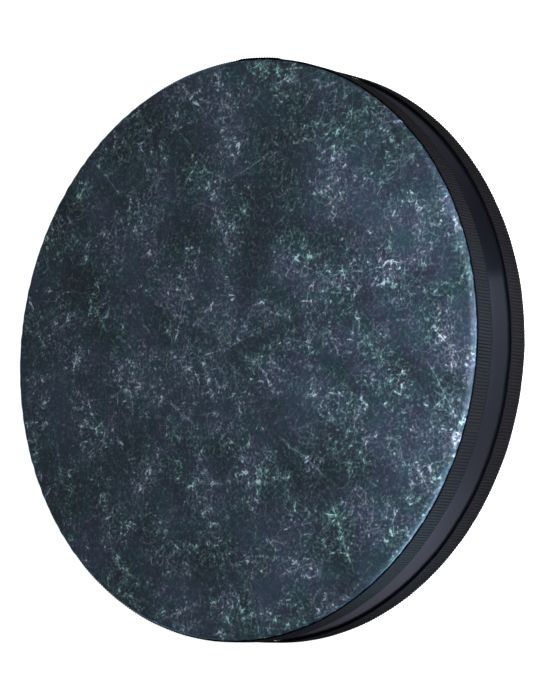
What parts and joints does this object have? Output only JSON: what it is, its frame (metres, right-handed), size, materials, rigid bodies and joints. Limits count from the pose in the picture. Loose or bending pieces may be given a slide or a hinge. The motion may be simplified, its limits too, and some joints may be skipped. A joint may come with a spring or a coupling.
{
  "type": "ocean drum",
  "caption": "Shallow round drum with an opaque head, a clear head, a hoop shell, woven trim tapes and loose steel balls that roll between the heads and sound like surf.",
  "frame": {"origin": "centre of the face of the clear head, which the drum lies on: the bottom centre of its box", "axes": "+Z is the axis of the drum and leaves through the printed head; +Y points to the top of the print; +X is to the right of the print"},
  "size_m": [0.4064, 0.4077, 0.0635],
  "materials": {
    "shell_skin": "laminated wood fibre under a dark satin skin",
    "printed_film": "satin polyester film with a marbled print",
    "clear_film": "clear glossy polyester film",
    "trim_tape": "black ribbed grosgrain",
    "ball_steel": "bright steel shot"
  },
  "bodies": {
    "drum": {"shell": "shell_skin", "printed_head": "printed_film", "clear_head": "clear_film", "upper_trim_tape": "trim_tape", "lower_trim_tape": "trim_tape"},
    "ball_load": {"ball_row_25": "ball_steel"},
    "row_01": {"ball_row_01": "ball_steel"},
    "row_02": {"ball_row_02": "ball_steel"},
    "row_03": {"ball_row_03": "ball_steel"},
    "row_04": {"ball_row_04": "ball_steel"},
    "row_05": {"ball_row_05": "ball_steel"},
    "row_06": {"ball_row_06": "ball_steel"},
    "row_07": {"ball_row_07": "ball_steel"},
    "row_08": {"ball_row_08": "ball_steel"},
    "row_09": {"ball_row_09": "ball_steel"},
    "row_10": {"ball_row_10": "ball_steel"},
    "row_11": {"ball_row_11": "ball_steel"},
    "row_12": {"ball_row_12": "ball_steel"},
    "row_13": {"ball_row_13": "ball_steel"},
    "row_14": {"ball_row_14": "ball_steel"},
    "row_15": {"ball_row_15": "ball_steel"},
    "row_16": {"ball_row_16": "ball_steel"},
    "row_17": {"ball_row_17": "ball_steel"},
    "row_18": {"ball_row_18": "ball_steel"},
    "row_19": {"ball_row_19": "ball_steel"},
    "row_20": {"ball_row_20": "ball_steel"},
    "row_21": {"ball_row_21": "ball_steel"},
    "row_22": {"ball_row_22": "ball_steel"},
    "row_23": {"ball_row_23": "ball_steel"},
    "row_24": {"ball_row_24": "ball_steel"},
    "row_26": {"ball_row_26": "ball_steel"},
    "row_27": {"ball_row_27": "ball_steel"},
    "row_28": {"ball_row_28": "ball_steel"},
    "row_29": {"ball_row_29": "ball_steel"},
    "row_30": {"ball_row_30": "ball_steel"},
    "row_31": {"ball_row_31": "ball_steel"},
    "row_32": {"ball_row_32": "ball_steel"},
    "row_33": {"ball_row_33": "ball_steel"},
    "row_34": {"ball_row_34": "ball_steel"},
    "row_35": {"ball_row_35": "ball_steel"},
    "row_36": {"ball_row_36": "ball_steel"},
    "row_37": {"ball_row_37": "ball_steel"},
    "row_38": {"ball_row_38": "ball_steel"},
    "row_39": {"ball_row_39": "ball_steel"},
    "row_40": {"ball_row_40": "ball_steel"},
    "row_41": {"ball_row_41": "ball_steel"},
    "row_42": {"ball_row_42": "ball_steel"},
    "row_43": {"ball_row_43": "ball_steel"},
    "row_44": {"ball_row_44": "ball_steel"},
    "row_45": {"ball_row_45": "ball_steel"},
    "row_46": {"ball_row_46": "ball_steel"},
    "row_47": {"ball_row_47": "ball_steel"},
    "row_48": {"ball_row_48": "ball_steel"},
    "row_49": {"ball_row_49": "ball_steel"}
  },
  "joints": [
    {"name": "ball_swirl", "type": "hinge", "parent": "drum", "child": "ball_load", "pos_m": [0, 0, 0.0028], "axis": [0, 0, 1], "continuous": true},
    {"name": "row_01_roll", "type": "slide", "parent": "ball_load", "child": "row_01", "axis": [1, 0, 0], "range_m": [-0.0158, 0.0291]},
    {"name": "row_02_roll", "type": "slide", "parent": "ball_load", "child": "row_02", "axis": [1, 0, 0], "range_m": [-0.0085, 0.0611]},
    {"name": "row_03_roll", "type": "slide", "parent": "ball_load", "child": "row_03", "axis": [1, 0, 0], "range_m": [-0.0293, 0.0576]},
    {"name": "row_04_roll", "type": "slide", "parent": "ball_load", "child": "row_04", "axis": [1, 0, 0], "range_m": [-0.0194, 0.0812]},
    {"name": "row_05_roll", "type": "slide", "parent": "ball_load", "child": "row_05", "axis": [1, 0, 0], "range_m": [-0.0756, 0.0366]},
    {"name": "row_06_roll", "type": "slide", "parent": "ball_load", "child": "row_06", "axis": [1, 0, 0], "range_m": [-0.0251, 0.0971]},
    {"name": "row_07_roll", "type": "slide", "parent": "ball_load", "child": "row_07", "axis": [1, 0, 0], "range_m": [-0.0827, 0.0484]},
    {"name": "row_08_roll", "type": "slide", "parent": "ball_load", "child": "row_08", "axis": [1, 0, 0], "range_m": [-0.1126, 0.0262]},
    {"name": "row_09_roll", "type": "slide", "parent": "ball_load", "child": "row_09", "axis": [1, 0, 0], "range_m": [-0.1156, 0.0302]},
    {"name": "row_10_roll", "type": "slide", "parent": "ball_load", "child": "row_10", "axis": [1, 0, 0], "range_m": [-0.1, 0.052]},
    {"name": "row_11_roll", "type": "slide", "parent": "ball_load", "child": "row_11", "axis": [1, 0, 0], "range_m": [-0.0347, 0.123]},
    {"name": "row_12_roll", "type": "slide", "parent": "ball_load", "child": "row_12", "axis": [1, 0, 0], "range_m": [-0.0945, 0.0683]},
    {"name": "row_13_roll", "type": "slide", "parent": "ball_load", "child": "row_13", "axis": [1, 0, 0], "range_m": [-0.0928, 0.0746]},
    {"name": "row_14_roll", "type": "slide", "parent": "ball_load", "child": "row_14", "axis": [1, 0, 0], "range_m": [-0.1189, 0.0527]},
    {"name": "row_15_roll", "type": "slide", "parent": "ball_load", "child": "row_15", "axis": [1, 0, 0], "range_m": [-0.0655, 0.1096]},
    {"name": "row_16_roll", "type": "slide", "parent": "ball_load", "child": "row_16", "axis": [1, 0, 0], "range_m": [-0.1212, 0.0572]},
    {"name": "row_17_roll", "type": "slide", "parent": "ball_load", "child": "row_17", "axis": [1, 0, 0], "range_m": [-0.0693, 0.112]},
    {"name": "row_18_roll", "type": "slide", "parent": "ball_load", "child": "row_18", "axis": [1, 0, 0], "range_m": [-0.0276, 0.1562]},
    {"name": "row_19_roll", "type": "slide", "parent": "ball_load", "child": "row_19", "axis": [1, 0, 0], "range_m": [-0.0626, 0.1233]},
    {"name": "row_20_roll", "type": "slide", "parent": "ball_load", "child": "row_20", "axis": [1, 0, 0], "range_m": [-0.127, 0.0608]},
    {"name": "row_21_roll", "type": "slide", "parent": "ball_load", "child": "row_21", "axis": [1, 0, 0], "range_m": [-0.0777, 0.1115]},
    {"name": "row_22_roll", "type": "slide", "parent": "ball_load", "child": "row_22", "axis": [1, 0, 0], "range_m": [-0.0458, 0.1447]},
    {"name": "row_23_roll", "type": "slide", "parent": "ball_load", "child": "row_23", "axis": [1, 0, 0], "range_m": [-0.059, 0.1323]},
    {"name": "row_24_roll", "type": "slide", "parent": "ball_load", "child": "row_24", "axis": [1, 0, 0], "range_m": [-0.0357, 0.1561]},
    {"name": "row_26_roll", "type": "slide", "parent": "ball_load", "child": "row_26", "axis": [1, 0, 0], "range_m": [-0.024, 0.1678]},
    {"name": "row_27_roll", "type": "slide", "parent": "ball_load", "child": "row_27", "axis": [1, 0, 0], "range_m": [-0.0468, 0.1445]},
    {"name": "row_28_roll", "type": "slide", "parent": "ball_load", "child": "row_28", "axis": [1, 0, 0], "range_m": [-0.1375, 0.0529]},
    {"name": "row_29_roll", "type": "slide", "parent": "ball_load", "child": "row_29", "axis": [1, 0, 0], "range_m": [-0.1563, 0.033]},
    {"name": "row_30_roll", "type": "slide", "parent": "ball_load", "child": "row_30", "axis": [1, 0, 0], "range_m": [-0.0942, 0.0936]},
    {"name": "row_31_roll", "type": "slide", "parent": "ball_load", "child": "row_31", "axis": [1, 0, 0], "range_m": [-0.0855, 0.1005]},
    {"name": "row_32_roll", "type": "slide", "parent": "ball_load", "child": "row_32", "axis": [1, 0, 0], "range_m": [-0.0794, 0.1044]},
    {"name": "row_33_roll", "type": "slide", "parent": "ball_load", "child": "row_33", "axis": [1, 0, 0], "range_m": [-0.0284, 0.1529]},
    {"name": "row_34_roll", "type": "slide", "parent": "ball_load", "child": "row_34", "axis": [1, 0, 0], "range_m": [-0.1149, 0.0636]},
    {"name": "row_35_roll", "type": "slide", "parent": "ball_load", "child": "row_35", "axis": [1, 0, 0], "range_m": [-0.1365, 0.0387]},
    {"name": "row_36_roll", "type": "slide", "parent": "ball_load", "child": "row_36", "axis": [1, 0, 0], "range_m": [-0.1024, 0.0691]},
    {"name": "row_37_roll", "type": "slide", "parent": "ball_load", "child": "row_37", "axis": [1, 0, 0], "range_m": [-0.1528, 0.0146]},
    {"name": "row_38_roll", "type": "slide", "parent": "ball_load", "child": "row_38", "axis": [1, 0, 0], "range_m": [-0.1137, 0.0491]},
    {"name": "row_39_roll", "type": "slide", "parent": "ball_load", "child": "row_39", "axis": [1, 0, 0], "range_m": [-0.0276, 0.1302]},
    {"name": "row_40_roll", "type": "slide", "parent": "ball_load", "child": "row_40", "axis": [1, 0, 0], "range_m": [-0.0643, 0.0878]},
    {"name": "row_41_roll", "type": "slide", "parent": "ball_load", "child": "row_41", "axis": [1, 0, 0], "range_m": [-0.0413, 0.1045]},
    {"name": "row_42_roll", "type": "slide", "parent": "ball_load", "child": "row_42", "axis": [1, 0, 0], "range_m": [-0.1, 0.0388]},
    {"name": "row_43_roll", "type": "slide", "parent": "ball_load", "child": "row_43", "axis": [1, 0, 0], "range_m": [-0.0978, 0.0333]},
    {"name": "row_44_roll", "type": "slide", "parent": "ball_load", "child": "row_44", "axis": [1, 0, 0], "range_m": [-0.0257, 0.0965]},
    {"name": "row_45_roll", "type": "slide", "parent": "ball_load", "child": "row_45", "axis": [1, 0, 0], "range_m": [-0.083, 0.0292]},
    {"name": "row_46_roll", "type": "slide", "parent": "ball_load", "child": "row_46", "axis": [1, 0, 0], "range_m": [-0.019, 0.0816]},
    {"name": "row_47_roll", "type": "slide", "parent": "ball_load", "child": "row_47", "axis": [1, 0, 0], "range_m": [-0.0277, 0.0591]},
    {"name": "row_48_roll", "type": "slide", "parent": "ball_load", "child": "row_48", "axis": [1, 0, 0], "range_m": [-0.0504, 0.0192]},
    {"name": "row_49_roll", "type": "slide", "parent": "ball_load", "child": "row_49", "axis": [1, 0, 0], "range_m": [-0.0254, 0.0196]}
  ]
}
